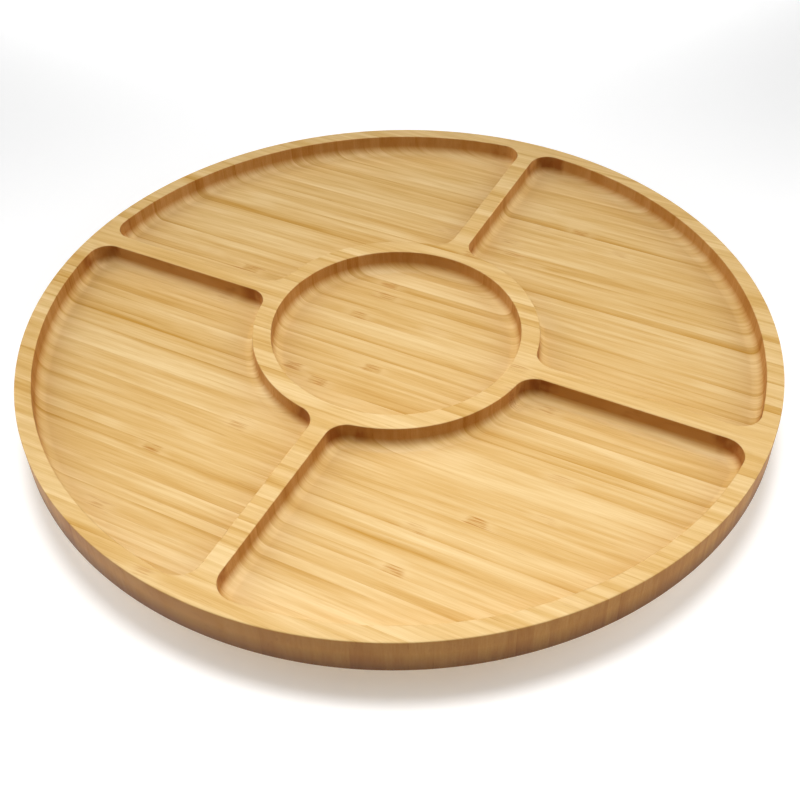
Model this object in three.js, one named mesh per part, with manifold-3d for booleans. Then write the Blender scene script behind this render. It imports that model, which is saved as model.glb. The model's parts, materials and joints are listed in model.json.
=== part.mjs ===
// A lazy susan: a divided bamboo tray that turns on a thin ring bearing over a small bamboo base.
// Millimetres, +Z up. The axis of rotation is the Z axis, and Z = 0 is the surface the feet stand on.
import * as THREE from "three";
import { mergeVertices } from "three/addons/utils/BufferGeometryUtils.js";
import Module from "manifold-3d";

const wasm = await Module();
wasm.setup();

// Driving dimensions.
const TRAY_RADIUS = 177.5;
const TRAY_THICKNESS = 19;
const TRAY_EDGE_ROUND = 1.2;
const POCKET_DEPTH = 10.7;
const POCKET_OUTER_RADIUS = 169.8;
const RING_WALL_OUTER_RADIUS = 67.9;
const WELL_RADIUS = 59.1;
const RIDGE_WIDTH = 9;
const POCKET_CORNER_RADIUS = 10;
const COVE_RADIUS = 5;

const BASE_RADIUS = 100;
const BASE_THICKNESS = 7;
const BASE_EDGE_ROUND = 1.2;
const ACCESS_HOLE_RADIUS = 6;

const FOOT_RADIUS = 8;
const FOOT_STANDOFF = 2;
const FOOT_RECESS_DEPTH = 1;
const FOOT_CIRCLE_RADIUS = 86;
const FOOT_COUNT = 4;
const FOOT_TAPER = 0.6;
const FOOT_CLEARANCE = 0.25;

const BEARING_HEIGHT = 8;
const RING_HEIGHT = 7;
const BALL_CIRCLE_RADIUS = 64;
const BALL_RADIUS = 2;
const BALL_COUNT = 18;
const RACEWAY_CLEARANCE = 0.2;
const RING_TO_RING_GAP = 1.6;
const RING_FACE_WIDTH = 13.2;
const RING_EDGE_CHAMFER = 0.4;

const CAGE_THICKNESS = 0.8;
const CAGE_HEIGHT = 5.6;
const CAGE_POCKET_CLEARANCE = 0.2;

const SCREW_SHANK_RADIUS = 1.5;
const SCREW_HEAD_RADIUS = 3;
const SCREW_HEAD_HEIGHT = 1.7;
const SCREW_HEAD_RIM = 0.3;
const SCREW_TIP_LENGTH = 2;
const BASE_SCREW_LENGTH = 12;
const TRAY_SCREW_LENGTH = 13;
const SCREW_COUNT = 4;
const SCREW_CLEARANCE = 0.25;

// Pieces that rest on each other keep this gap, and cutters run this far past what they cut.
const SEAT_GAP = 0.1;
const OVERRUN = 1;

// Two outline points nearer than this are one point.
const SAME_POINT = 1e-3;

// How finely round things are faceted.
const TRAY_SEGMENTS = 96;
const BASE_SEGMENTS = 64;
const BEARING_SEGMENTS = 48;
const HOLE_SEGMENTS = 12;
const FOOT_SEGMENTS = 20;
const EDGE_SEGMENTS = 2;
const COVE_SEGMENTS = 3;
const CORNER_SEGMENTS = 4;
const POCKET_OUTER_SEGMENTS = 20;
const POCKET_INNER_SEGMENTS = 12;
const GROOVE_SEGMENTS = 4;
const WINDOW_SEGMENTS = 12;

// Heights that follow from the dimensions.
const BASE_BOTTOM = FOOT_STANDOFF;
const BASE_TOP = BASE_BOTTOM + BASE_THICKNESS;
const TRAY_BOTTOM = BASE_TOP + BEARING_HEIGHT;
const TRAY_TOP = TRAY_BOTTOM + TRAY_THICKNESS;
const POCKET_FLOOR = TRAY_TOP - POCKET_DEPTH;
const BALL_HEIGHT = BASE_TOP + BEARING_HEIGHT / 2;
const INNER_RING_TOP = BASE_TOP + RING_HEIGHT;
const OUTER_RING_BOTTOM = TRAY_BOTTOM - RING_HEIGHT;

// Radii that follow from the dimensions.
const INNER_RING_RACE = BALL_CIRCLE_RADIUS - RING_TO_RING_GAP / 2;
const OUTER_RING_RACE = BALL_CIRCLE_RADIUS + RING_TO_RING_GAP / 2;
const BASE_SCREW_CIRCLE = INNER_RING_RACE - RING_FACE_WIDTH / 2;
const TRAY_SCREW_CIRCLE = OUTER_RING_RACE + RING_FACE_WIDTH / 2;

const MATERIALS = {
  bamboo: new THREE.MeshStandardMaterial({ color: 0xd9a766, roughness: 0.55, metalness: 0 }),
  aluminium: new THREE.MeshStandardMaterial({ color: 0xb9bcc0, roughness: 0.35, metalness: 1 }),
  steel: new THREE.MeshStandardMaterial({ color: 0xd5d7da, roughness: 0.15, metalness: 1 }),
  zinc: new THREE.MeshStandardMaterial({ color: 0xa9abab, roughness: 0.4, metalness: 1 }),
  nylon: new THREE.MeshStandardMaterial({ color: 0xe9e6dc, roughness: 0.5, metalness: 0 }),
  rubber: new THREE.MeshStandardMaterial({ color: 0x1d1d1e, roughness: 0.85, metalness: 0 }),
};

// Points of a circular arc, both ends included.
function arc(centreX, centreY, radius, fromAngle, toAngle, segments) {
  const points = [];
  for (let i = 0; i <= segments; i++) {
    const angle = fromAngle + ((toAngle - fromAngle) * i) / segments;
    const x = centreX + radius * Math.cos(angle);
    const y = centreY + radius * Math.sin(angle);
    points.push(new THREE.Vector2(x, y));
  }
  return points;
}

// A profile of radius and height turned about Z.
function turned(profile, segments) {
  return new THREE.LatheGeometry(profile, segments).rotateX(Math.PI / 2);
}

// The profile of a flat round disc whose outer edges are rounded over.
function discProfile(radius, bottom, top, round) {
  const inner = radius - round;
  return [
    new THREE.Vector2(0, bottom),
    ...arc(inner, bottom + round, round, -Math.PI / 2, 0, EDGE_SEGMENTS),
    ...arc(inner, top - round, round, 0, Math.PI / 2, EDGE_SEGMENTS),
    new THREE.Vector2(0, top),
  ];
}

// A solid that manifold-3d can join and cut, from a closed geometry.
function solid(geometry) {
  const bare = geometry.clone();
  bare.deleteAttribute("normal");
  bare.deleteAttribute("uv");
  const merged = mergeVertices(bare);
  const mesh = new wasm.Mesh({
    numProp: 3,
    vertProperties: new Float32Array(merged.attributes.position.array),
    triVerts: new Uint32Array(merged.index.array),
  });
  return new wasm.Manifold(mesh);
}

// The geometry left after the cutters are taken out of a body.
function cut(geometry, cutters) {
  const remainder = cutters.reduce((body, cutter) => body.subtract(solid(cutter)), solid(geometry));
  const mesh = remainder.getMesh();
  const result = new THREE.BufferGeometry();
  result.setAttribute("position", new THREE.BufferAttribute(mesh.vertProperties, 3));
  result.setIndex(new THREE.BufferAttribute(mesh.triVerts, 1));
  result.computeVertexNormals();
  return result;
}

// An upright cylinder between two heights, for drilling.
function drill(x, y, radius, bottom, top, segments = HOLE_SEGMENTS) {
  const cylinder = new THREE.CylinderGeometry(radius, radius, top - bottom, segments);
  return cylinder.rotateX(Math.PI / 2).translate(x, y, (bottom + top) / 2);
}

// Evenly spaced places on a circle about Z.
function aroundCircle(count, radius, firstAngle) {
  return Array.from({ length: count }, (_, i) => {
    const angle = firstAngle + (i * 2 * Math.PI) / count;
    return { angle, x: radius * Math.cos(angle), y: radius * Math.sin(angle) };
  });
}

const BASE_SCREW_PLACES = aroundCircle(SCREW_COUNT, BASE_SCREW_CIRCLE, 0);
const TRAY_SCREW_PLACES = aroundCircle(SCREW_COUNT, TRAY_SCREW_CIRCLE, Math.PI / 4);
const FOOT_PLACES = aroundCircle(FOOT_COUNT, FOOT_CIRCLE_RADIUS, 0);
const BALL_PLACES = aroundCircle(BALL_COUNT, BALL_CIRCLE_RADIUS, 0);

// The outline of the pocket between the +X and +Y ridges, with all four corners rounded.
function pocketOutline() {
  const ridge = RIDGE_WIDTH / 2;
  const corner = POCKET_CORNER_RADIUS;
  const inset = ridge + corner;
  const innerReach = Math.sqrt((RING_WALL_OUTER_RADIUS + corner) ** 2 - inset ** 2);
  const outerReach = Math.sqrt((POCKET_OUTER_RADIUS - corner) ** 2 - inset ** 2);
  const innerAngle = Math.atan2(inset, innerReach);
  const outerAngle = Math.atan2(inset, outerReach);
  const quarter = Math.PI / 2;
  const points = [
    ...arc(outerReach, inset, corner, -quarter, outerAngle, CORNER_SEGMENTS),
    ...arc(0, 0, POCKET_OUTER_RADIUS, outerAngle, quarter - outerAngle, POCKET_OUTER_SEGMENTS),
    ...arc(inset, outerReach, corner, quarter - outerAngle, Math.PI, CORNER_SEGMENTS),
    ...arc(inset, innerReach, corner, Math.PI, 3 * quarter - innerAngle, CORNER_SEGMENTS),
    ...arc(0, 0, RING_WALL_OUTER_RADIUS, quarter - innerAngle, innerAngle, POCKET_INNER_SEGMENTS),
    ...arc(innerReach, inset, corner, innerAngle + Math.PI, 3 * quarter, CORNER_SEGMENTS),
  ];
  return points.filter((point, i) => point.distanceTo(points.at(i - 1)) > SAME_POINT);
}

// What a mill takes out of the tray for one pocket: upright walls and a coved foot.
function pocketCutter(quarterTurns) {
  const cutter = new THREE.ExtrudeGeometry(new THREE.Shape(pocketOutline()), {
    depth: POCKET_DEPTH,
    bevelThickness: COVE_RADIUS,
    bevelSize: COVE_RADIUS,
    bevelOffset: -COVE_RADIUS,
    bevelSegments: COVE_SEGMENTS,
  });
  cutter.translate(0, 0, POCKET_FLOOR + COVE_RADIUS);
  return cutter.rotateZ((quarterTurns * Math.PI) / 2);
}

function wellCutter() {
  const cove = arc(
    WELL_RADIUS - COVE_RADIUS,
    POCKET_FLOOR + COVE_RADIUS,
    COVE_RADIUS,
    -Math.PI / 2,
    0,
    COVE_SEGMENTS,
  );
  const clear = TRAY_TOP + COVE_RADIUS;
  const profile = [
    new THREE.Vector2(0, POCKET_FLOOR),
    ...cove,
    new THREE.Vector2(WELL_RADIUS, clear),
    new THREE.Vector2(0, clear),
  ];
  return turned(profile, TRAY_SEGMENTS);
}

function trayGeometry() {
  const disc = discProfile(TRAY_RADIUS, TRAY_BOTTOM, TRAY_TOP, TRAY_EDGE_ROUND);
  const radius = SCREW_SHANK_RADIUS + SCREW_CLEARANCE;
  const screwTip = OUTER_RING_BOTTOM + TRAY_SCREW_LENGTH;
  const pilotHoles = TRAY_SCREW_PLACES.map(({ x, y }) =>
    drill(x, y, radius, TRAY_BOTTOM - OVERRUN, screwTip + SCREW_CLEARANCE),
  );
  const pockets = [0, 1, 2, 3].map(pocketCutter);
  return cut(turned(disc, TRAY_SEGMENTS), [wellCutter(), ...pockets, ...pilotHoles]);
}

function baseDiscGeometry() {
  const disc = discProfile(BASE_RADIUS, BASE_BOTTOM, BASE_TOP, BASE_EDGE_ROUND);
  const pilotRadius = SCREW_SHANK_RADIUS + SCREW_CLEARANCE;
  const screwTip = INNER_RING_TOP - BASE_SCREW_LENGTH;
  const pilotHoles = BASE_SCREW_PLACES.map(({ x, y }) =>
    drill(x, y, pilotRadius, screwTip - SCREW_CLEARANCE, BASE_TOP + OVERRUN),
  );
  const recessRadius = FOOT_RADIUS + FOOT_CLEARANCE;
  const recessTop = BASE_BOTTOM + FOOT_RECESS_DEPTH;
  const recesses = FOOT_PLACES.map(({ x, y }) =>
    drill(x, y, recessRadius, BASE_BOTTOM - OVERRUN, recessTop, FOOT_SEGMENTS),
  );
  const accessPlace = TRAY_SCREW_PLACES[0];
  const accessHole = drill(
    accessPlace.x,
    accessPlace.y,
    ACCESS_HOLE_RADIUS,
    BASE_BOTTOM - OVERRUN,
    BASE_TOP + OVERRUN,
  );
  return cut(turned(disc, BASE_SEGMENTS), [...pilotHoles, ...recesses, accessHole]);
}

// The raceway that the balls run in, from its lower edge to its upper edge. side is 1 where the
// groove is cut into a ring that lies outside the balls, and -1 where the ring lies inside them.
function raceway(side) {
  const radius = BALL_RADIUS + RACEWAY_CLEARANCE;
  const opening = Math.acos(RING_TO_RING_GAP / 2 / radius);
  const groove = arc(0, 0, radius, -opening, opening, GROOVE_SEGMENTS);
  return groove.map(({ x, y }) => new THREE.Vector2(BALL_CIRCLE_RADIUS + side * x, BALL_HEIGHT + y));
}

// The section of a bearing ring: its race face has the groove and chamfered edges, its back is plain.
function ringProfile(race, back, bottom, top) {
  const side = Math.sign(back - race);
  const chamfer = side * RING_EDGE_CHAMFER;
  const points = [
    new THREE.Vector2(race + chamfer, bottom),
    new THREE.Vector2(race, bottom + RING_EDGE_CHAMFER),
    ...raceway(side),
    new THREE.Vector2(race, top - RING_EDGE_CHAMFER),
    new THREE.Vector2(race + chamfer, top),
    new THREE.Vector2(back, top),
    new THREE.Vector2(back, bottom),
  ];
  const outward = side < 0 ? points : points.reverse();
  return [...outward, outward[0].clone()];
}

// A countersunk hole right through a ring; headAt is the face that the screw's head lies in.
function countersink(x, y, headAt, pointAt) {
  const down = Math.sign(pointAt - headAt);
  const shank = SCREW_SHANK_RADIUS + SCREW_CLEARANCE;
  const head = SCREW_HEAD_RADIUS + SCREW_CLEARANCE;
  const profile = [
    new THREE.Vector2(0, pointAt + down * OVERRUN),
    new THREE.Vector2(shank, pointAt + down * OVERRUN),
    new THREE.Vector2(shank, headAt + down * (SCREW_HEAD_HEIGHT + SCREW_CLEARANCE)),
    new THREE.Vector2(head, headAt + down * (SCREW_HEAD_RIM + SCREW_CLEARANCE)),
    new THREE.Vector2(head, headAt - down * OVERRUN),
    new THREE.Vector2(0, headAt - down * OVERRUN),
  ];
  return turned(down < 0 ? profile : profile.reverse(), HOLE_SEGMENTS).translate(x, y, 0);
}

function innerRingGeometry() {
  const bottom = BASE_TOP + SEAT_GAP;
  const back = INNER_RING_RACE - RING_FACE_WIDTH;
  const ring = turned(ringProfile(INNER_RING_RACE, back, bottom, INNER_RING_TOP), BEARING_SEGMENTS);
  return cut(ring, BASE_SCREW_PLACES.map(({ x, y }) => countersink(x, y, INNER_RING_TOP, bottom)));
}

function outerRingGeometry() {
  const top = TRAY_BOTTOM - SEAT_GAP;
  const back = OUTER_RING_RACE + RING_FACE_WIDTH;
  const ring = turned(ringProfile(OUTER_RING_RACE, back, OUTER_RING_BOTTOM, top), BEARING_SEGMENTS);
  return cut(ring, TRAY_SCREW_PLACES.map(({ x, y }) => countersink(x, y, OUTER_RING_BOTTOM, top)));
}

// A thin band with a round window for each ball.
function cageGeometry() {
  const inner = BALL_CIRCLE_RADIUS - CAGE_THICKNESS / 2;
  const outer = BALL_CIRCLE_RADIUS + CAGE_THICKNESS / 2;
  const low = BALL_HEIGHT - CAGE_HEIGHT / 2;
  const high = BALL_HEIGHT + CAGE_HEIGHT / 2;
  const section = [
    new THREE.Vector2(inner, low),
    new THREE.Vector2(outer, low),
    new THREE.Vector2(outer, high),
    new THREE.Vector2(inner, high),
    new THREE.Vector2(inner, low),
  ];
  const radius = BALL_RADIUS + CAGE_POCKET_CLEARANCE;
  const length = CAGE_THICKNESS + 2 * OVERRUN;
  const windows = BALL_PLACES.map(({ angle, x, y }) => {
    const window = new THREE.CylinderGeometry(radius, radius, length, WINDOW_SEGMENTS);
    return window.rotateZ(angle - Math.PI / 2).translate(x, y, BALL_HEIGHT);
  });
  return cut(turned(section, BEARING_SEGMENTS), windows);
}

// A countersunk wood screw that points down from a head whose face is at height 0.
function screwGeometry(length) {
  const profile = [
    new THREE.Vector2(0, -length),
    new THREE.Vector2(SCREW_SHANK_RADIUS, SCREW_TIP_LENGTH - length),
    new THREE.Vector2(SCREW_SHANK_RADIUS, -SCREW_HEAD_HEIGHT),
    new THREE.Vector2(SCREW_HEAD_RADIUS, -SCREW_HEAD_RIM),
    new THREE.Vector2(SCREW_HEAD_RADIUS, 0),
    new THREE.Vector2(0, 0),
  ];
  return turned(profile, HOLE_SEGMENTS);
}

// A low rubber pad, a little narrower at the end that it stands on.
function footGeometry() {
  const top = FOOT_STANDOFF + FOOT_RECESS_DEPTH - SEAT_GAP;
  const profile = [
    new THREE.Vector2(0, 0),
    new THREE.Vector2(FOOT_RADIUS - FOOT_TAPER, 0),
    new THREE.Vector2(FOOT_RADIUS, FOOT_TAPER),
    new THREE.Vector2(FOOT_RADIUS, top),
    new THREE.Vector2(0, top),
  ];
  return turned(profile, FOOT_SEGMENTS);
}

function named(name, geometry, material) {
  const mesh = new THREE.Mesh(geometry, material.clone());
  mesh.name = name;
  return mesh;
}

// One copy of a piece at each place, numbered from 1.
function copies(name, places, height, geometry, material, digits = 1) {
  return places.map(({ x, y }, i) => {
    const number = String(i + 1).padStart(digits, "0");
    const mesh = named(`${name}_${number}`, geometry.clone(), material);
    mesh.position.set(x, y, height);
    return mesh;
  });
}

// The part that stays still: base, feet and the bearing's inner ring.
function baseGroup() {
  const base = new THREE.Group();
  base.add(named("base_disc", baseDiscGeometry(), MATERIALS.bamboo));
  base.add(...copies("foot", FOOT_PLACES, 0, footGeometry(), MATERIALS.rubber));
  base.add(named("inner_ring", innerRingGeometry(), MATERIALS.aluminium));
  const screw = screwGeometry(BASE_SCREW_LENGTH);
  base.add(...copies("base_screw", BASE_SCREW_PLACES, INNER_RING_TOP, screw, MATERIALS.zinc));
  return base;
}

// The cage and the balls that it carries round.
function cageGroup() {
  const cage = new THREE.Group();
  cage.add(named("ball_cage", cageGeometry(), MATERIALS.nylon));
  const ball = new THREE.IcosahedronGeometry(BALL_RADIUS, 1);
  cage.add(...copies("ball", BALL_PLACES, BALL_HEIGHT, ball, MATERIALS.steel, 2));
  return cage;
}

// The part that turns: tray, the bearing's outer ring and the screws between them.
function trayGroup() {
  const tray = new THREE.Group();
  tray.add(named("tray", trayGeometry(), MATERIALS.bamboo));
  tray.add(named("outer_ring", outerRingGeometry(), MATERIALS.aluminium));
  const screw = screwGeometry(TRAY_SCREW_LENGTH).rotateX(Math.PI);
  tray.add(...copies("tray_screw", TRAY_SCREW_PLACES, OUTER_RING_BOTTOM, screw, MATERIALS.zinc));
  return tray;
}

const group = new THREE.Group();
group.add(baseGroup(), cageGroup(), trayGroup());

export default group;
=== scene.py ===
"""A divided bamboo lazy susan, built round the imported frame. Metres, +Z up, turning about the Z axis."""

import json
import math
from collections import namedtuple

import bmesh
import bpy
from mathutils import Matrix, Vector


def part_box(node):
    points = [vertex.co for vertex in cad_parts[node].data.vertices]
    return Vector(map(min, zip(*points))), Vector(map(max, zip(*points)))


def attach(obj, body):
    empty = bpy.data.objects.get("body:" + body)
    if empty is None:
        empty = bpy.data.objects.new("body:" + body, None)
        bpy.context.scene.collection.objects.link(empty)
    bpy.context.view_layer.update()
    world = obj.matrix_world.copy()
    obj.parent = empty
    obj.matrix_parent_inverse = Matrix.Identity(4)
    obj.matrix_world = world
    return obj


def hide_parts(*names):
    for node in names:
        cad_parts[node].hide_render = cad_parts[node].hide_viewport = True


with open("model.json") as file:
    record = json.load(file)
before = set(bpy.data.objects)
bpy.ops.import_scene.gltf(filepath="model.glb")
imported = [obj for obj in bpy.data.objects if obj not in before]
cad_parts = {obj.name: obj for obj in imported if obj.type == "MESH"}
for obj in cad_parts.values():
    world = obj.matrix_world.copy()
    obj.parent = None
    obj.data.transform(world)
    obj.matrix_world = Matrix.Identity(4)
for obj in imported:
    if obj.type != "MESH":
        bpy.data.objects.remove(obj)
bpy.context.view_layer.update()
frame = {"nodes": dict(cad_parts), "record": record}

MM = 0.001
QUARTER = math.pi / 2

# The tray's milling.
RIDGE_WIDTH = 9 * MM
RING_WALL_RADIUS = 67.9 * MM
WELL_RADIUS = 59.1 * MM
POCKET_REACH = 169.8 * MM
POCKET_CORNER = 10 * MM
COVE_RADIUS = 5 * MM
LIP_EASE = 0.45 * MM
RIM_EASE = 0.6 * MM
FOOT_EDGE_EASE = 1.5 * MM

# The base and its holes.
ACCESS_HOLE_RADIUS = 6 * MM
ACCESS_HOLE_CHAMFER = 0.5 * MM
BASE_EASE = 1.2 * MM
FOOT_RECESS_DEPTH = 1 * MM
FOOT_RECESS_RADIUS = 8.25 * MM

# The bearing.
RING_FACE_WIDTH = 13.2 * MM
RING_EDGE_EASE = 0.35 * MM
GROOVE_CLEARANCE = 0.2 * MM
CAGE_WINDOW_RADIUS = 2.2 * MM

# The screws.
SCREW_HEAD_RADIUS = 3 * MM
SCREW_HEAD_HEIGHT = 1.7 * MM
SCREW_HEAD_RIM = 0.3 * MM
SCREW_CORE_RADIUS = 1.05 * MM
SCREW_THREAD_RADIUS = 1.5 * MM
SCREW_THREAD_PITCH = 1.35 * MM
SCREW_PLAIN_SHANK = 2.4 * MM
SCREW_TIP = 2.4 * MM
SCREW_HOLE_CLEARANCE = 0.25 * MM
DRIVE_REACH = 1.75 * MM
DRIVE_HALF_WIDTH = 0.42 * MM
DRIVE_DEPTH = 1.3 * MM

# The camera, as seen from the middle of the tray's top. Lengths are in tray radii, angles in degrees.
LENS = 52.2
CAMERA_AZIMUTH = 27.56
CAMERA_ELEVATION = 40.23
CAMERA_DISTANCE = 3.1
CAMERA_DIP = 4.0
CAMERA_SWING = 0.93
CAMERA_ROLL = 1.33
CAMERA_SHIFT = (0.0265, 0.0105)

# The studio, in metres. The floor's glow grows between two distances from the object. The world has
# one brightness as a light and another as the camera sees it.
FLOOR_RADIUS = 12.0
FLOOR_COLOUR = (0.92, 0.92, 0.92, 1.0)
FLOOR_GLOW_REACH = (0.45, 1.3)
FLOOR_GLOW = (0.2, 0.85)
WORLD_LIGHTING = 0.02
WORLD_AS_SEEN = 0.88
WHITE = (1.0, 1.0, 1.0, 1.0)
SIDE_LIGHT_DISTANCE = 1.2
SIDE_LIGHT_ELEVATION = 30


# Geometry -----------------------------------------------------------------------------------------


def arc(centre, radius, start, stop, steps):
    """Points of a circular arc in a plane, both ends included."""
    angles = [start + (stop - start) * i / steps for i in range(steps + 1)]
    return [(centre[0] + radius * math.cos(a), centre[1] + radius * math.sin(a)) for a in angles]


def circle(radius, height, steps=96, centre=(0, 0)):
    """A level loop of points round a centre."""
    angles = [2 * math.pi * i / steps for i in range(steps)]
    return [
        Vector((centre[0] + radius * math.cos(a), centre[1] + radius * math.sin(a), height))
        for a in angles
    ]


def add_wall(mesh, loops):
    """Quads from each loop of points to the next. Returns the loops as vertices."""
    rows = [[mesh.verts.new(point) for point in loop] for loop in loops]
    for near, far in zip(rows, rows[1:]):
        for i in range(len(near)):
            mesh.faces.new((near[i - 1], near[i], far[i], far[i - 1]))
    return rows


def add_flat(mesh, outline, *holes):
    """A level face inside an outline of vertices, with holes."""
    if not holes:
        mesh.faces.new(outline)
        return
    edges = [mesh.edges.get((loop[i - 1], loop[i])) for loop in (outline, *holes) for i in range(len(loop))]
    bmesh.ops.triangle_fill(mesh, edges=edges, use_beauty=True)


def add_turned(mesh, profile, steps, centre=(0, 0)):
    """A closed turned solid: a wall along a profile of radius and height, with a flat at each end."""
    rows = add_wall(mesh, [circle(radius, height, steps, centre) for radius, height in profile])
    add_flat(mesh, rows[0])
    add_flat(mesh, rows[-1])


def middle(node):
    """The middle of a CAD node's box."""
    low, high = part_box(node)
    return (Vector(low) + Vector(high)) / 2


def make_piece(name, mesh, material, body, node):
    """Finishes a mesh as a smooth-shaded piece that rides on a body and stands for a CAD node."""
    bmesh.ops.recalc_face_normals(mesh, faces=mesh.faces)
    data = bpy.data.meshes.new(name)
    mesh.to_mesh(data)
    mesh.free()
    data.materials.append(material)
    data.shade_smooth()
    data.set_sharp_from_angle(angle=math.radians(35))
    piece = bpy.data.objects.new(name, data)
    bpy.context.scene.collection.objects.link(piece)
    weighting = piece.modifiers.new("even_shading", "WEIGHTED_NORMAL")
    weighting.keep_sharp = True
    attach(piece, body)
    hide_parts(node)
    return piece


# The tray -----------------------------------------------------------------------------------------


def pocket_outline(inset):
    """The outline of the pocket between the +X and +Y ridges, drawn in by inset."""
    off_axis = RIDGE_WIDTH / 2 + POCKET_CORNER
    inner = math.sqrt((RING_WALL_RADIUS + POCKET_CORNER) ** 2 - off_axis**2)
    outer = math.sqrt((POCKET_REACH - POCKET_CORNER) ** 2 - off_axis**2)
    inner_turn = math.atan2(off_axis, inner)
    outer_turn = math.atan2(off_axis, outer)
    corner = POCKET_CORNER - inset
    corner_steps = 14
    far_wall = arc((0, 0), POCKET_REACH - inset, outer_turn, QUARTER - outer_turn, 96)
    near_wall = arc((0, 0), RING_WALL_RADIUS + inset, QUARTER - inner_turn, inner_turn, 48)
    return [
        *arc((outer, off_axis), corner, -QUARTER, outer_turn, corner_steps),
        *far_wall[1:-1],
        *arc((off_axis, outer), corner, QUARTER - outer_turn, math.pi, corner_steps),
        *arc((off_axis, inner), corner, math.pi, 3 * QUARTER - inner_turn, corner_steps),
        *near_wall[1:-1],
        *arc((inner, off_axis), corner, math.pi + inner_turn, 3 * QUARTER, corner_steps),
    ]


def recess_profile(top, floor):
    """Inset and height down a milled wall: the eased lip, the upright wall and the coved foot."""
    lip = arc((-LIP_EASE, top - LIP_EASE), LIP_EASE, QUARTER, 0, 4)
    cove = arc((COVE_RADIUS, floor + COVE_RADIUS), COVE_RADIUS, math.pi, 3 * QUARTER, 14)
    return lip + cove


def turned_outline(points, height, quarter_turns):
    """An outline laid at a height and turned about Z by whole quarter turns."""
    for _ in range(quarter_turns):
        points = [(-y, x) for x, y in points]
    return [Vector((x, y, height)) for x, y in points]


def disc_wall(radius, bottom, top, bottom_ease, top_ease):
    """Radius and height down the outside of a disc, with eased edges."""
    upper = arc((radius - top_ease, top - top_ease), top_ease, QUARTER, 0, 6)
    lower = arc((radius - bottom_ease, bottom + bottom_ease), bottom_ease, 0, -QUARTER, 6)
    return upper + lower


def build_tray(material):
    low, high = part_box("tray")
    floor = next(m["pos_m"][2] for m in frame["record"]["mounts"] if m["name"] == "well_floor")
    recess = recess_profile(high[2], floor)
    mesh = bmesh.new()
    outside = disc_wall(high[0], low[2], high[2], FOOT_EDGE_EASE, RIM_EASE)
    rim = add_wall(mesh, [circle(radius, height, 360) for radius, height in outside])
    openings = []
    for quarter_turns in range(4):
        pocket = add_wall(
            mesh,
            [turned_outline(pocket_outline(inset), height, quarter_turns) for inset, height in recess],
        )
        add_flat(mesh, pocket[-1])
        openings.append(pocket[0])
    well = add_wall(mesh, [circle(WELL_RADIUS - inset, height, 180) for inset, height in recess])
    add_flat(mesh, well[-1])
    add_flat(mesh, rim[0], well[0], *openings)
    add_flat(mesh, rim[-1])
    return make_piece("tray_board", mesh, material, "tray", "tray")


# The base -----------------------------------------------------------------------------------------


def build_base(material):
    low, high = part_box("base_disc")
    mesh = bmesh.new()
    outside = disc_wall(high[0], low[2], high[2], BASE_EASE, BASE_EASE)
    wall = add_wall(mesh, [circle(radius, height, 240) for radius, height in outside])
    hole_at = middle("tray_screw_1")
    wide = ACCESS_HOLE_RADIUS + ACCESS_HOLE_CHAMFER
    hole_profile = [
        (wide, high[2]),
        (ACCESS_HOLE_RADIUS, high[2] - ACCESS_HOLE_CHAMFER),
        (ACCESS_HOLE_RADIUS, low[2] + ACCESS_HOLE_CHAMFER),
        (wide, low[2]),
    ]
    hole = add_wall(mesh, [circle(radius, height, 48, hole_at) for radius, height in hole_profile])
    recesses = []
    for number in range(1, 5):
        foot_at = middle(f"foot_{number}")
        heights = (low[2], low[2] + FOOT_RECESS_DEPTH)
        recess = add_wall(mesh, [circle(FOOT_RECESS_RADIUS, height, 64, foot_at) for height in heights])
        add_flat(mesh, recess[-1])
        recesses.append(recess[0])
    add_flat(mesh, wall[0], hole[0])
    add_flat(mesh, wall[-1], hole[-1], *recesses)
    return make_piece("base_board", mesh, material, "base", "base_disc")


def build_feet(material):
    """Low rubber pads with a rounded edge and two gripping grooves underneath."""
    for number in range(1, 5):
        node = f"foot_{number}"
        low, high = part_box(node)
        radius = (high[0] - low[0]) / 2
        edge = 0.8 * MM
        groove = 0.35 * MM
        bottom, top = low[2], high[2]
        profile = [(1.6 * MM, bottom)]
        for start in (2.2 * MM, 4.6 * MM):
            stop = start + 1.1 * MM
            profile += [(start, bottom), (start + groove, bottom + groove)]
            profile += [(stop, bottom + groove), (stop + groove, bottom)]
        profile += arc((radius - edge, bottom + edge), edge, -QUARTER, 0, 6)
        profile += [(radius, top - groove), (radius - groove, top)]
        mesh = bmesh.new()
        add_turned(mesh, profile, 64, middle(node))
        make_piece(f"rubber_foot_{number}", mesh, material, "base", node)


# The bearing --------------------------------------------------------------------------------------


def ball_circle():
    """The radius of the circle that the balls run on, their height and their own radius."""
    low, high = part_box("ball_01")
    place = middle("ball_01")
    return place.x, place.z, (high[2] - low[2]) / 2


def race_profile(face, side, bottom, top):
    """Radius and height up a ring's race face. side is 1 for a ring outside the balls, -1 inside."""
    circle_radius, ball_height, ball_radius = ball_circle()
    groove = ball_radius + GROOVE_CLEARANCE
    opening = math.acos(abs(face - circle_radius) / groove)
    ease = RING_EDGE_EASE
    bend = arc((0, 0), groove, -opening, opening, 12)
    return [
        (face + side * ease, bottom),
        (face, bottom + ease),
        *[(circle_radius + side * x, ball_height + z) for x, z in bend],
        (face, top - ease),
        (face + side * ease, top),
    ]


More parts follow.
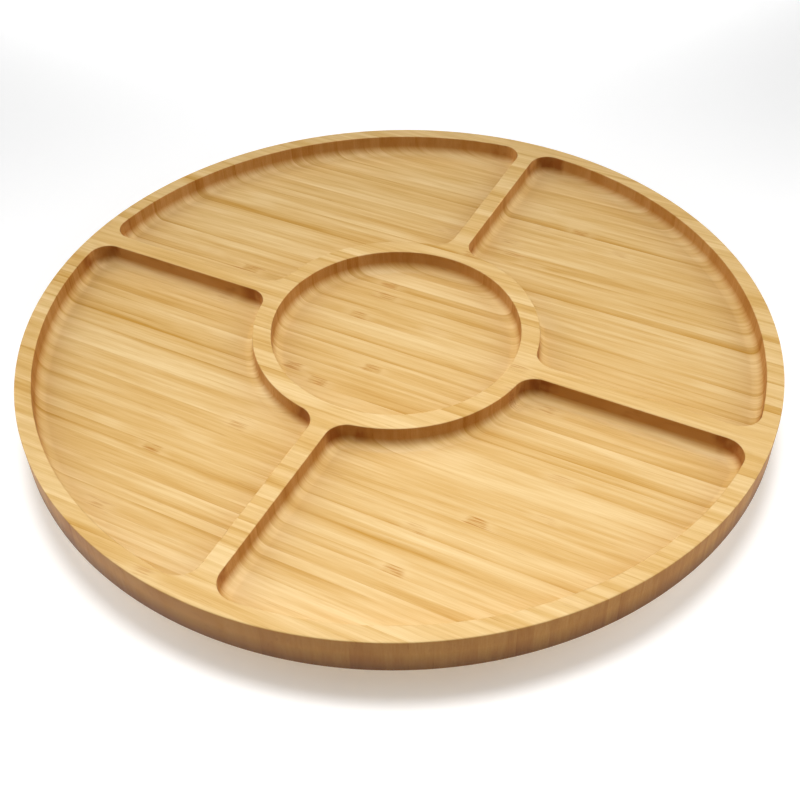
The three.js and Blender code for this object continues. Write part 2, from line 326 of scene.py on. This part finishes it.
def screw_hole(mesh, place, head_face, far_face):
    """A countersunk hole from one face of a ring to the other. Returns its two mouths."""
    down = math.copysign(1, far_face - head_face)
    shank = SCREW_THREAD_RADIUS + SCREW_HOLE_CLEARANCE
    head = SCREW_HEAD_RADIUS + SCREW_HOLE_CLEARANCE
    profile = [
        (head, head_face),
        (head, head_face + down * SCREW_HEAD_RIM),
        (shank, head_face + down * (SCREW_HEAD_HEIGHT + SCREW_HOLE_CLEARANCE)),
        (shank, far_face),
    ]
    rows = add_wall(mesh, [circle(radius, height, 32, place) for radius, height in profile])
    return rows[0], rows[-1]


def build_ring(name, material, body, node, side, screws):
    """A bearing ring with a ball race on one face and countersunk screw holes through it."""
    low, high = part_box(node)
    bottom, top = low[2], high[2]
    circle_radius, ball_height, _ = ball_circle()
    back = high[0]
    face = back - RING_FACE_WIDTH
    if side < 0:
        back, face = face, back
    ease = RING_EDGE_EASE
    back_profile = [
        (back - side * ease, bottom),
        (back, bottom + ease),
        (back, top - ease),
        (back - side * ease, top),
    ]
    steps = 240
    mesh = bmesh.new()
    profile = race_profile(face, side, bottom, top)
    race = add_wall(mesh, [circle(radius, height, steps) for radius, height in profile])
    plain = add_wall(mesh, [circle(radius, height, steps) for radius, height in back_profile])
    head_face, far_face = (bottom, top) if side > 0 else (top, bottom)
    mouths = [screw_hole(mesh, middle(screw), head_face, far_face) for screw in screws]
    outer, inner = (plain, race) if side > 0 else (race, plain)
    heads = [mouth[0] for mouth in mouths]
    tips = [mouth[1] for mouth in mouths]
    lower, upper = (heads, tips) if side > 0 else (tips, heads)
    add_flat(mesh, outer[0], inner[0], *lower)
    add_flat(mesh, outer[-1], inner[-1], *upper)
    return make_piece(name, mesh, material, body, node)


def build_cage(material):
    """A thin band between the rings, with a round window for each ball."""
    low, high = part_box("ball_cage")
    circle_radius, ball_height, _ = ball_circle()
    balls = [name for name in frame["nodes"] if name.startswith("ball_") and name != "ball_cage"]
    half_pitch = math.pi / len(balls)
    half_height = (high[2] - low[2]) / 2
    outer_radius = high[0]
    inner_radius = 2 * circle_radius - outer_radius
    steps = 32
    mesh = bmesh.new()

    def window_ring(centre_angle, radius, spread):
        """A ring round one window: 0 is the window's edge and 1 the edge of its share of the band."""
        ring = []
        for i in range(steps):
            turn = 2 * math.pi * i / steps
            across = CAGE_WINDOW_RADIUS * math.cos(turn) / circle_radius
            up = CAGE_WINDOW_RADIUS * math.sin(turn)
            far_across = half_pitch * max(-1, min(1, math.sqrt(2) * math.cos(turn)))
            far_up = half_height * max(-1, min(1, math.sqrt(2) * math.sin(turn)))
            angle = centre_angle + across + (far_across - across) * spread
            height = ball_height + up + (far_up - up) * spread
            ring.append(Vector((radius * math.cos(angle), radius * math.sin(angle), height)))
        return ring

    for index in range(len(balls)):
        centre_angle = 2 * half_pitch * index
        spreads = (1, 0.55, 0.2, 0.06, 0)
        outside = [window_ring(centre_angle, outer_radius, spread) for spread in spreads]
        inside = [window_ring(centre_angle, inner_radius, spread) for spread in reversed(spreads)]
        rows = add_wall(mesh, outside + inside)
        for i in range(steps):
            if abs(rows[0][i - 1].co.z - rows[0][i].co.z) < 1e-7:
                mesh.faces.new((rows[0][i - 1], rows[0][i], rows[-1][i], rows[-1][i - 1]))
    bmesh.ops.remove_doubles(mesh, verts=mesh.verts, dist=0.01 * MM)
    make_piece("cage_band", mesh, material, "cage", "ball_cage")


def build_balls(material):
    for node in sorted(frame["nodes"]):
        if not node.startswith("ball_") or node == "ball_cage":
            continue
        mesh = bmesh.new()
        bmesh.ops.create_icosphere(mesh, subdivisions=4, radius=ball_circle()[2])
        bmesh.ops.translate(mesh, verts=mesh.verts, vec=middle(node))
        make_piece(node.replace("ball", "bearing_ball"), mesh, material, "cage", node)


# The screws ---------------------------------------------------------------------------------------


def drive_depth(x, y):
    """How deep the cross-shaped driver recess is at a point of the screw's face."""
    reach, offset = max(abs(x), abs(y)), min(abs(x), abs(y))
    if reach > DRIVE_REACH or offset > DRIVE_HALF_WIDTH:
        return 0.0
    return DRIVE_DEPTH * (1 - 0.55 * reach / DRIVE_REACH)


def thread_radius(angle, depth):
    """The radius of the threaded shank at an angle, at a depth below the head's face."""
    turn = (depth / SCREW_THREAD_PITCH - angle / (2 * math.pi)) % 1
    ridge = max(0.0, 1 - abs(turn - 0.5) * 4)
    return SCREW_CORE_RADIUS + (SCREW_THREAD_RADIUS - SCREW_CORE_RADIUS) * ridge


def screw_loops(length):
    """Loops of points from the middle of a wood screw's face, over its head and down to its tip."""
    steps = 48
    angles = [2 * math.pi * i / steps for i in range(steps)]
    loops = []
    face_rings = 16
    for i in range(face_rings):
        radius = (SCREW_HEAD_RADIUS - 0.1 * MM) * (i + 0.3) / (face_rings - 0.7)
        flat = [(radius * math.cos(a), radius * math.sin(a)) for a in angles]
        loops.append([(x, y, -drive_depth(x, y)) for x, y in flat])

    def ring(radius_at, depth):
        loops.append([(radius_at(a) * math.cos(a), radius_at(a) * math.sin(a), -depth) for a in angles])

    ring(lambda a: SCREW_HEAD_RADIUS, 0.1 * MM)
    ring(lambda a: SCREW_HEAD_RADIUS, SCREW_HEAD_RIM)
    ring(lambda a: SCREW_THREAD_RADIUS, SCREW_HEAD_HEIGHT)
    ring(lambda a: SCREW_CORE_RADIUS + 0.2 * MM, SCREW_HEAD_HEIGHT + 0.2 * MM)
    rings_per_turn = 8
    threaded = length - SCREW_PLAIN_SHANK
    count = int(threaded / SCREW_THREAD_PITCH * rings_per_turn)
    for i in range(count + 1):
        depth = SCREW_PLAIN_SHANK + (threaded - 0.2 * MM) * i / count
        narrow = min(1.0, (length - depth) / SCREW_TIP)
        grow = min(1.0, i / rings_per_turn)

        def radius_at(angle, depth=depth, narrow=narrow, grow=grow):
            ridge = thread_radius(angle, depth) - SCREW_CORE_RADIUS
            return narrow * (SCREW_CORE_RADIUS + grow * ridge)

        ring(radius_at, depth)
    return loops


def build_screws(material, group, body):
    """The screws of one group. The tray's point up and the base's point down."""
    for number in range(1, 5):
        node = f"{group}_screw_{number}"
        low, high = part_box(node)
        place = middle(node)
        up = group == "tray"
        face, flip = (low[2], -1) if up else (high[2], 1)
        loops = [
            [Vector((place.x + x, place.y + flip * y, face + flip * z)) for x, y, z in loop]
            for loop in screw_loops(high[2] - low[2])
        ]
        mesh = bmesh.new()
        rows = add_wall(mesh, loops)
        add_flat(mesh, rows[0])
        add_flat(mesh, rows[-1])
        make_piece(f"{group}_wood_screw_{number}", mesh, material, body, node)


# Shader nodes -------------------------------------------------------------------------------------


def srgb(red, green, blue):
    """A colour given as 0 to 255 screen values, as the shader's linear values."""
    channels = [value / 255 for value in (red, green, blue)]
    linear = [c / 12.92 if c <= 0.04045 else ((c + 0.055) / 1.055) ** 2.4 for c in channels]
    return (*linear, 1.0)


def add_node(tree, kind, inputs, **settings):
    """A shader node with its settings made and each input set to a value or linked to an output."""
    made = tree.nodes.new(kind)
    for name, value in settings.items():
        setattr(made, name, value)
    for key, value in inputs.items():
        if isinstance(value, bpy.types.NodeSocket):
            tree.links.new(value, made.inputs[key])
        else:
            made.inputs[key].default_value = value
    return made


def calc(tree, operation, *values):
    return add_node(tree, "ShaderNodeMath", dict(enumerate(values)), operation=operation).outputs[0]


def remap(tree, value, low, high, to_low=0.0, to_high=1.0, smooth=False):
    """value moved from low..high to to_low..to_high, and held there."""
    inputs = {0: value, 1: low, 2: high, 3: to_low, 4: to_high}
    kind = "SMOOTHSTEP" if smooth else "LINEAR"
    return add_node(tree, "ShaderNodeMapRange", inputs, interpolation_type=kind).outputs[0]


def vector(tree, x, y, z):
    return add_node(tree, "ShaderNodeCombineXYZ", {0: x, 1: y, 2: z}).outputs[0]


def noise(tree, place, scale=1.0, detail=2.0, roughness=0.5):
    inputs = {"Vector": place, "Scale": scale, "Detail": detail, "Roughness": roughness}
    return add_node(tree, "ShaderNodeTexNoise", inputs).outputs["Fac"]


def blend(tree, factor, first, second, mode="MIX"):
    """Two colours mixed. Sockets 0, 6 and 7 are the factor and the two colours."""
    settings = {"data_type": "RGBA", "blend_type": mode}
    return add_node(tree, "ShaderNodeMix", {0: factor, 6: first, 7: second}, **settings).outputs[2]


def ramp(tree, value, stops):
    made = add_node(tree, "ShaderNodeValToRGB", {0: value})
    elements = made.color_ramp.elements
    while len(elements) < len(stops):
        elements.new(1.0)
    for element, (position, colour) in zip(elements, stops):
        element.position = position
        element.color = colour
    return made.outputs[0]


def product(tree, *values):
    """All the values multiplied together."""
    total = values[0]
    for value in values[1:]:
        total = calc(tree, "MULTIPLY", total, value)
    return total


def vary(tree, total, value, share):
    """total moved up and down by its share of a value that runs either side of one half."""
    return calc(tree, "MULTIPLY_ADD", calc(tree, "SUBTRACT", value, 0.5), share, total)


def from_axis(tree, x, y):
    """The distance of a place from the Z axis."""
    squares = calc(tree, "ADD", calc(tree, "MULTIPLY", x, x), calc(tree, "MULTIPLY", y, y))
    return calc(tree, "SQRT", squares)


def new_material(name, **sockets):
    """A material with a Principled shader whose uniform values are set on its own sockets."""
    material = bpy.data.materials.new(name)
    material.use_nodes = True
    shader = material.node_tree.nodes["Principled BSDF"]
    for socket, value in sockets.items():
        shader.inputs[socket.replace("_", " ")].default_value = value
    return material, material.node_tree, shader


def local_place(tree):
    """The point being shaded, in millimetres in the piece's own frame, then its x, y and z."""
    coordinates = add_node(tree, "ShaderNodeTexCoord", {})
    inputs = {0: coordinates.outputs["Object"], 3: 1 / MM}
    scaled = add_node(tree, "ShaderNodeVectorMath", inputs, operation="SCALE").outputs[0]
    split = add_node(tree, "ShaderNodeSeparateXYZ", {0: scaled})
    return scaled, *split.outputs


def bump(tree, shader, height, strength, distance):
    """A shader's surface made uneven, without moving it."""
    inputs = {"Height": height, "Strength": strength, "Distance": distance}
    made = add_node(tree, "ShaderNodeBump", inputs)
    tree.links.new(made.outputs[0], shader.inputs["Normal"])


# Bamboo -------------------------------------------------------------------------------------------

# Lengths are in millimetres.
STRIP_WIDTH = 4.6
NODE_SPACING = 290.0
OUTER_EDGE_DEPTH = (0.8, 0.2)
# How far past a corner's curve the painted corner shade reaches.
CORNER_SHADE_REACH = (0.3, 3.0)
NODE_HALO = (2.0, 12.0)
NODE_PATCH = (3.0, 5.5)
NODE_MARK = (1.5, 6.5)
FAR_OFF = 1000.0

# How strongly the marks at a culm node cover the wood, at most.
HALO_STRENGTH = 0.35
PATCH_STRENGTH = 0.4
MARK_STRENGTH = 0.85

# The oiled surface: how much it reflects and how far its grain stands up; and how much of the outer
# edge's height the painted shade on its lower side fades over.
REFLECTION = 0.18
GRAIN_RELIEF = 0.18
GRAIN_DEPTH = 0.05 * MM
EDGE_FADE_SHARE = 0.6

# How fast each kind of mark changes along the fibres, across them and up, per millimetre.
DRIFT_GRAIN = (0.007, 0.11, 0.02)
STREAK_GRAIN = (0.024, 0.55, 0.04)
FIBRE_GRAIN = (0.05, 2.6, 0.12)
TICK_GRAIN = (0.12, 3.2, 0.3)
DASH_GRAIN = (0.09, 1.9, 1.0)
RAGGED_GRAIN = (0.0, 1.9, 1.0)

# The middle of the shade, from pale at 0 to golden at 1, and how far each thing moves it.
MIDDLE_SHADE = 0.40
TONE_SHARE = 0.26
DRIFT_SHARE = 0.85
STREAK_SHARE = 0.8
FIBRE_SHARE = 0.35
SKIN_SHARE = 0.4

# Colours laid over the wood.
PALE = srgb(226, 196, 142)
HONEY = srgb(209, 170, 106)
GOLDEN = srgb(187, 139, 58)
TICK_BROWN = (0.62, 0.45, 0.28, 1.0)
NODE_BROWN = (0.45, 0.19, 0.03, 1.0)
# Painted shade on upright walls.
WALL_SHADE = (0.76, 0.54, 0.34, 1.0)
# Painted shade on the outer edge, and darker still on its lower part.
EDGE_SHADE = (0.74, 0.67, 0.38, 1.0)
EDGE_SHADE_LOW = (0.34, 0.27, 0.18, 1.0)
# Painted shade in the tight corners of the pockets.
CORNER_SHADE = (0.68, 0.50, 0.36, 1.0)

Strips = namedtuple("Strips", "tree x y z tone red green blue dense")


def find_strips(tree, seed):
    """The strip that a point lies in: its tone, three more chances, and how near its skin side is."""
    _, x, y, z = local_place(tree)
    row = calc(tree, "DIVIDE", y, STRIP_WIDTH)
    number = {"W": calc(tree, "ADD", calc(tree, "FLOOR", row), seed)}
    chance = add_node(tree, "ShaderNodeTexWhiteNoise", number, noise_dimensions="1D")
    split = add_node(tree, "ShaderNodeSeparateColor", {0: chance.outputs["Color"]})
    red, green, blue = split.outputs
    skin_first = calc(tree, "GREATER_THAN", red, 0.5)
    across = calc(tree, "SUBTRACT", calc(tree, "FRACT", row), skin_first)
    dense = calc(tree, "ABSOLUTE", across)
    return Strips(tree, x, y, z, chance.outputs["Value"], red, green, blue, dense)


def grain_noise(strips, grain, detail):
    """Noise drawn out along the fibres, and different in each strip."""
    tree = strips.tree
    along, over, up = grain
    place = vector(
        tree,
        calc(tree, "MULTIPLY_ADD", strips.x, along, calc(tree, "MULTIPLY", strips.green, 60.0)),
        calc(tree, "MULTIPLY", strips.y, over),
        calc(tree, "MULTIPLY_ADD", strips.z, up, calc(tree, "MULTIPLY", strips.blue, 30.0)),
    )
    return noise(tree, place, detail=detail)


def strip_colour(strips, fibres):
    """The wood's colour: each strip's tone with drifts and streaks, darker towards its skin side."""
    tree = strips.tree
    drifts = grain_noise(strips, DRIFT_GRAIN, 2.0)
    streaks = grain_noise(strips, STREAK_GRAIN, 3.0)
    uneven = remap(tree, drifts, 0.35, 0.65, 0.3, 1.3)
    strength = product(tree, calc(tree, "POWER", strips.blue, 2.0), uneven)
    skin = product(tree, calc(tree, "POWER", strips.dense, 2.5), strength)
    shade = vary(tree, MIDDLE_SHADE, strips.tone, TONE_SHARE)
    shade = vary(tree, shade, drifts, DRIFT_SHARE)
    shade = vary(tree, shade, streaks, STREAK_SHARE)
    shade = vary(tree, shade, fibres, FIBRE_SHARE)
    shade = calc(tree, "MULTIPLY_ADD", skin, SKIN_SHARE, shade)
    return ramp(tree, shade, [(0.05, PALE), (0.5, HONEY), (1.0, GOLDEN)])


def add_ticks(strips, colour, ticks):
    """Short dark fibre ends, more of them towards the skin side of each strip."""
    strength = product(strips.tree, ticks, remap(strips.tree, strips.dense, 0.0, 1.0, 0.04, 0.3))
    return blend(strips.tree, strength, colour, TICK_BROWN, "MULTIPLY")


def add_culm_nodes(strips, colour):
    """Culm nodes: ragged brown dashes in a paler halo, at their own place in each strip."""
    tree = strips.tree
    turns = calc(tree, "ADD", calc(tree, "DIVIDE", strips.x, NODE_SPACING), strips.green)
    along = calc(tree, "SUBTRACT", calc(tree, "FRACT", turns), 0.5)
    from_node = product(tree, calc(tree, "ABSOLUTE", along), NODE_SPACING)
    halo = remap(tree, from_node, *NODE_HALO, HALO_STRENGTH, 0.0, smooth=True)
    colour = blend(tree, halo, colour, PALE)
    patch = remap(tree, from_node, *NODE_PATCH, 1.0, 0.0, smooth=True)
    patch = product(tree, patch, remap(tree, strips.tone, 0.55, 0.95, 0.0, PATCH_STRENGTH))
    colour = blend(tree, patch, colour, GOLDEN)
    ragged = remap(tree, grain_noise(strips, RAGGED_GRAIN, 1.0), 0.3, 0.7, 0.3, 1.7)
    dashes = remap(tree, grain_noise(strips, DASH_GRAIN, 1.0), 0.46, 0.60)
    mark = remap(tree, product(tree, from_node, ragged), *NODE_MARK, 1.0, 0.0, smooth=True)
    mark = product(tree, mark, dashes, remap(tree, strips.red, 0.3, 0.9, 0.0, MARK_STRENGTH))
    return blend(tree, mark, colour, NODE_BROWN)


def face_directions(tree):
    """How upright a face is, and how squarely it cuts across the fibres."""
    normal = add_node(tree, "ShaderNodeTexCoord", {}).outputs["Normal"]
    facing_x, _, facing_z = add_node(tree, "ShaderNodeSeparateXYZ", {0: normal}).outputs
    upright = remap(tree, calc(tree, "ABSOLUTE", facing_z), 0.1, 0.8, 1.0, 0.0)
    end_grain = remap(tree, calc(tree, "ABSOLUTE", facing_x), 0.15, 0.95)
    return upright, end_grain


def shade_walls(strips, colour, upright, end_grain):
    """Painted shade: upright walls are darker all over, and there the cut fibre ends show as dots."""
    tree = strips.tree
    cells = vector(tree, product(tree, strips.x, 0.3), product(tree, strips.y, 2.4), strips.z)
    dots = remap(tree, noise(tree, cells, detail=2.0), 0.35, 0.65, -0.12, 0.12)
    strength = calc(tree, "MULTIPLY_ADD", product(tree, end_grain, dots), -1.0, 1.0)
    return blend(tree, product(tree, strength, upright), colour, WALL_SHADE, "MULTIPLY")


def corner_centres():
    """The centres of a pocket's rounded corners in the first quarter, in millimetres."""
    beside = RIDGE_WIDTH / 2 + POCKET_CORNER
    centres = []
    for radius in (RING_WALL_RADIUS + POCKET_CORNER, POCKET_REACH - POCKET_CORNER):
        along = math.sqrt(radius**2 - beside**2)
        centres += [(along / MM, beside / MM, 0.0), (beside / MM, along / MM, 0.0)]
    return centres


def shade_corners(strips, colour, upright):
    """Painted shade on the walls in the tight corners of the pockets, in patches."""
    tree = strips.tree
    flat = vector(tree, strips.x, strips.y, 0.0)
    quarter = add_node(tree, "ShaderNodeVectorMath", {0: flat}, operation="ABSOLUTE").outputs[0]
    from_corner = FAR_OFF
    for centre in corner_centres():
        ends = {0: quarter, 1: centre}
        reach = add_node(tree, "ShaderNodeVectorMath", ends, operation="DISTANCE").outputs[1]
        from_corner = calc(tree, "MINIMUM", from_corner, reach)
    start, stop = (POCKET_CORNER / MM + reach for reach in CORNER_SHADE_REACH)
    tight = remap(tree, from_corner, start, stop, 1.0, 0.0)
    cloud = vector(tree, strips.x, strips.y, product(tree, strips.z, 0.6))
    patchy = remap(tree, noise(tree, cloud, scale=0.13), 0.38, 0.6)
    return blend(tree, product(tree, tight, patchy, upright), colour, CORNER_SHADE, "MULTIPLY")


def shade_outer_edge(node, strips, colour, upright):
    """Painted shade on the upright outer edge, darker still low down."""
    tree = strips.tree
    low, high = (corner[2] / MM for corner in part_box(node))
    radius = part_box(node)[1][0] / MM
    start, stop = (radius - depth for depth in OUTER_EDGE_DEPTH)
    out = from_axis(tree, strips.x, strips.y)
    edge = product(tree, remap(tree, out, start, stop), upright)
    colour = blend(tree, edge, colour, EDGE_SHADE, "MULTIPLY")
    fade = remap(tree, strips.z, low, low + EDGE_FADE_SHARE * (high - low), 1.0, 0.0)
    return blend(tree, product(tree, edge, fade), colour, EDGE_SHADE_LOW, "MULTIPLY")


def bamboo(node, seed):
    """Vertical-grain laminated bamboo: narrow strips on edge along X, milled and oiled."""
    material, tree, shader = new_material(f"bamboo_{node}", Specular_IOR_Level=REFLECTION)
    strips = find_strips(tree, seed)
    fibres = grain_noise(strips, FIBRE_GRAIN, 2.0)
    ticks = remap(tree, grain_noise(strips, TICK_GRAIN, 1.0), 0.6, 0.74)
    upright, end_grain = face_directions(tree)
    colour = strip_colour(strips, fibres)
    colour = add_ticks(strips, colour, ticks)
    colour = add_culm_nodes(strips, colour)
    # Painted shade: darker upright walls, darker tight pocket corners and a darker outer edge, darkest low
    # down.
    colour = shade_walls(strips, colour, upright, end_grain)
    colour = shade_corners(strips, colour, upright)
    colour = shade_outer_edge(node, strips, colour, upright)
    tree.links.new(colour, shader.inputs["Base Color"])

    polish = calc(tree, "MULTIPLY_ADD", fibres, 0.16, 0.36)
    roughness = calc(tree, "MULTIPLY_ADD", end_grain, 0.12, polish)
    tree.links.new(roughness, shader.inputs["Roughness"])
    relief = calc(tree, "MULTIPLY_ADD", ticks, -0.5, fibres)
    bump(tree, shader, relief, GRAIN_RELIEF, GRAIN_DEPTH)
    return material


# Metal, nylon and rubber --------------------------------------------------------------------------

# Turning marks per millimetre of radius, and how deep they and a moulded skin are.
LATHE_MARKS_PER_MM = 9.0
LATHE_DEPTH = 0.02 * MM
SKIN_DEPTH = 0.05 * MM


def metal(name, colour, dull, roughness, lathe_marks):
    """Bare or plated metal with faint turning marks round Z and slightly uneven polish."""
    material, tree, shader = new_material(name, Metallic=1.0)
    place, x, y, z = local_place(tree)
    cloud = noise(tree, place, scale=0.12, detail=4.0, roughness=0.6)
    tree.links.new(ramp(tree, cloud, [(0.3, dull), (0.7, colour)]), shader.inputs["Base Color"])
    patchy = remap(tree, cloud, 0.3, 0.7, roughness * 1.3, roughness * 0.8)
    tree.links.new(patchy, shader.inputs["Roughness"])
    out = product(tree, from_axis(tree, x, y), LATHE_MARKS_PER_MM)
    rings = noise(tree, vector(tree, out, product(tree, z, LATHE_MARKS_PER_MM), 0.0))
    bump(tree, shader, rings, lathe_marks, LATHE_DEPTH)
    return material


def moulded(name, colour, worn, roughness, grain, depth):
    """A moulded plastic or rubber with a fine skin and a little dust or wear."""
    material, tree, shader = new_material(name)
    place, _, _, _ = local_place(tree)
    cloud = noise(tree, place, scale=0.25, detail=5.0, roughness=0.65)
    tree.links.new(ramp(tree, cloud, [(0.35, colour), (0.75, worn)]), shader.inputs["Base Color"])
    patchy = remap(tree, cloud, 0.3, 0.7, roughness - 0.08, roughness + 0.08)
    tree.links.new(patchy, shader.inputs["Roughness"])
    bump(tree, shader, noise(tree, place, scale=grain, detail=3.0), depth, SKIN_DEPTH)
    return material


# The setting --------------------------------------------------------------------------------------


def direction(azimuth, elevation):
    """A unit vector from the object. Azimuth 0 is towards -Y and 90 towards +X, in degrees."""
    a, e = math.radians(azimuth), math.radians(elevation)
    return Vector((math.sin(a) * math.cos(e), -math.cos(a) * math.cos(e), math.sin(e)))


def add_camera():
    """Looks at the middle of the tray's top, then dips, swings and rolls a little."""
    low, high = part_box("tray")
    target = Vector((0, 0, high[2]))
    back = direction(CAMERA_AZIMUTH, CAMERA_ELEVATION)
    data = bpy.data.cameras.new("camera")
    data.lens = LENS
    data.shift_x, data.shift_y = CAMERA_SHIFT
    data.clip_start = 0.01
    camera = bpy.data.objects.new("camera", data)
    aim = (-back).to_track_quat("-Z", "Y").to_matrix().to_4x4()
    dip = Matrix.Rotation(math.radians(-CAMERA_DIP), 4, "X")
    swing = Matrix.Rotation(math.radians(CAMERA_SWING), 4, "Y")
    roll = Matrix.Rotation(math.radians(-CAMERA_ROLL), 4, "Z")
    place = Matrix.Translation(target + back * CAMERA_DISTANCE * high[0])
    camera.matrix_world = place @ aim @ dip @ swing @ roll
    bpy.context.scene.collection.objects.link(camera)
    bpy.context.scene.camera = camera


def add_light(name, place, aim, diameter, power, spread=180):
    """A round soft box at a place, facing the point it is aimed at. Metres, watts and degrees."""
    data = bpy.data.lights.new(name, "AREA")
    data.shape = "DISK"
    data.size = diameter
    data.energy = power
    data.spread = math.radians(spread)
    light = bpy.data.objects.new(name, data)
    light.location = place
    light.rotation_mode = "QUATERNION"
    light.rotation_quaternion = (place - aim).to_track_quat("Z", "Y")
    bpy.context.scene.collection.objects.link(light)


def add_lights():
    """A small key overhead, a sheen from behind, a soft box each side, and one on the far floor."""
    middle_of_object = Vector()
    front = direction(CAMERA_AZIMUTH, 0)
    beside = direction(CAMERA_AZIMUTH + 90, 0)

    overhead = Vector((0, 0, 1.3))
    key_aim = 0.19 * front + 0.015 * beside
    add_light("key", overhead, key_aim, diameter=0.4, power=1.06, spread=50)

    behind = 1.25 * direction(CAMERA_AZIMUTH + 180, 58)
    add_light("sheen", behind, 0.16 * front, diameter=0.85, power=0.3, spread=60)

    right = SIDE_LIGHT_DISTANCE * direction(CAMERA_AZIMUTH + 85, SIDE_LIGHT_ELEVATION)
    left = SIDE_LIGHT_DISTANCE * direction(CAMERA_AZIMUTH - 95, SIDE_LIGHT_ELEVATION)
    add_light("right", right, middle_of_object, diameter=1.25, power=8.8)
    add_light("left", left, middle_of_object, diameter=1.25, power=9.4)

    far_floor = -0.85 * front
    above_far_floor = far_floor + Vector((0, 0, 0.8))
    add_light("backdrop", above_far_floor, far_floor, diameter=0.4, power=4.5, spread=70)


def add_floor():
    """A plain pale studio floor: a light table, lit from below faintly here and brightly far away."""
    mesh = bmesh.new()
    mesh.faces.new([mesh.verts.new(point) for point in circle(FLOOR_RADIUS, 0.0, 64)])
    data = bpy.data.meshes.new("floor")
    mesh.to_mesh(data)
    mesh.free()
    sockets = {"Base_Color": FLOOR_COLOUR, "Emission_Color": WHITE}
    material, tree, shader = new_material("light_table", Roughness=0.8, **sockets)
    place = add_node(tree, "ShaderNodeTexCoord", {}).outputs["Object"]
    out = add_node(tree, "ShaderNodeVectorMath", {0: place}, operation="LENGTH").outputs[1]
    glow = remap(tree, out, *FLOOR_GLOW_REACH, *FLOOR_GLOW, smooth=True)
    tree.links.new(glow, shader.inputs["Emission Strength"])
    data.materials.append(material)
    floor = bpy.data.objects.new("floor", data)
    bpy.context.scene.collection.objects.link(floor)


def add_world():
    """A pale studio: its walls are seen as pale, but the light boxes do nearly all of the lighting."""
    world = bpy.data.worlds.new("studio")
    world.use_nodes = True
    tree = world.node_tree
    seen = add_node(tree, "ShaderNodeLightPath", {}).outputs["Is Camera Ray"]
    strength = remap(tree, seen, 0.0, 1.0, WORLD_LIGHTING, WORLD_AS_SEEN)
    background = tree.nodes["Background"]
    background.inputs["Color"].default_value = WHITE
    tree.links.new(strength, background.inputs["Strength"])
    bpy.context.scene.world = world


def add_object():
    """Every piece of the turntable, in its material."""
    aluminium = metal("aluminium", srgb(206, 208, 212), srgb(184, 187, 192), 0.32, 0.5)
    steel = metal("bearing_steel", srgb(222, 224, 228), srgb(206, 208, 213), 0.1, 0.05)
    zinc = metal("zinc_plate", srgb(196, 199, 204), srgb(166, 170, 178), 0.34, 0.25)
    nylon = moulded("nylon", srgb(232, 228, 216), srgb(216, 210, 196), 0.45, 6.0, 0.2)
    rubber = moulded("rubber", srgb(30, 30, 31), srgb(62, 61, 59), 0.75, 9.0, 0.5)
    base_screws = [f"base_screw_{n}" for n in range(1, 5)]
    tray_screws = [f"tray_screw_{n}" for n in range(1, 5)]

    build_tray(bamboo("tray", 11.0))
    build_base(bamboo("base_disc", 307.0))
    build_feet(rubber)
    build_ring("lower_ring", aluminium, "base", "inner_ring", -1, base_screws)
    build_ring("upper_ring", aluminium, "tray", "outer_ring", 1, tray_screws)
    build_cage(nylon)
    build_balls(steel)
    build_screws(zinc, "base", "base")
    build_screws(zinc, "tray", "tray")


def main():
    bpy.context.scene.view_settings.view_transform = "Standard"
    add_camera()
    add_world()
    add_floor()
    add_lights()
    add_object()


main()
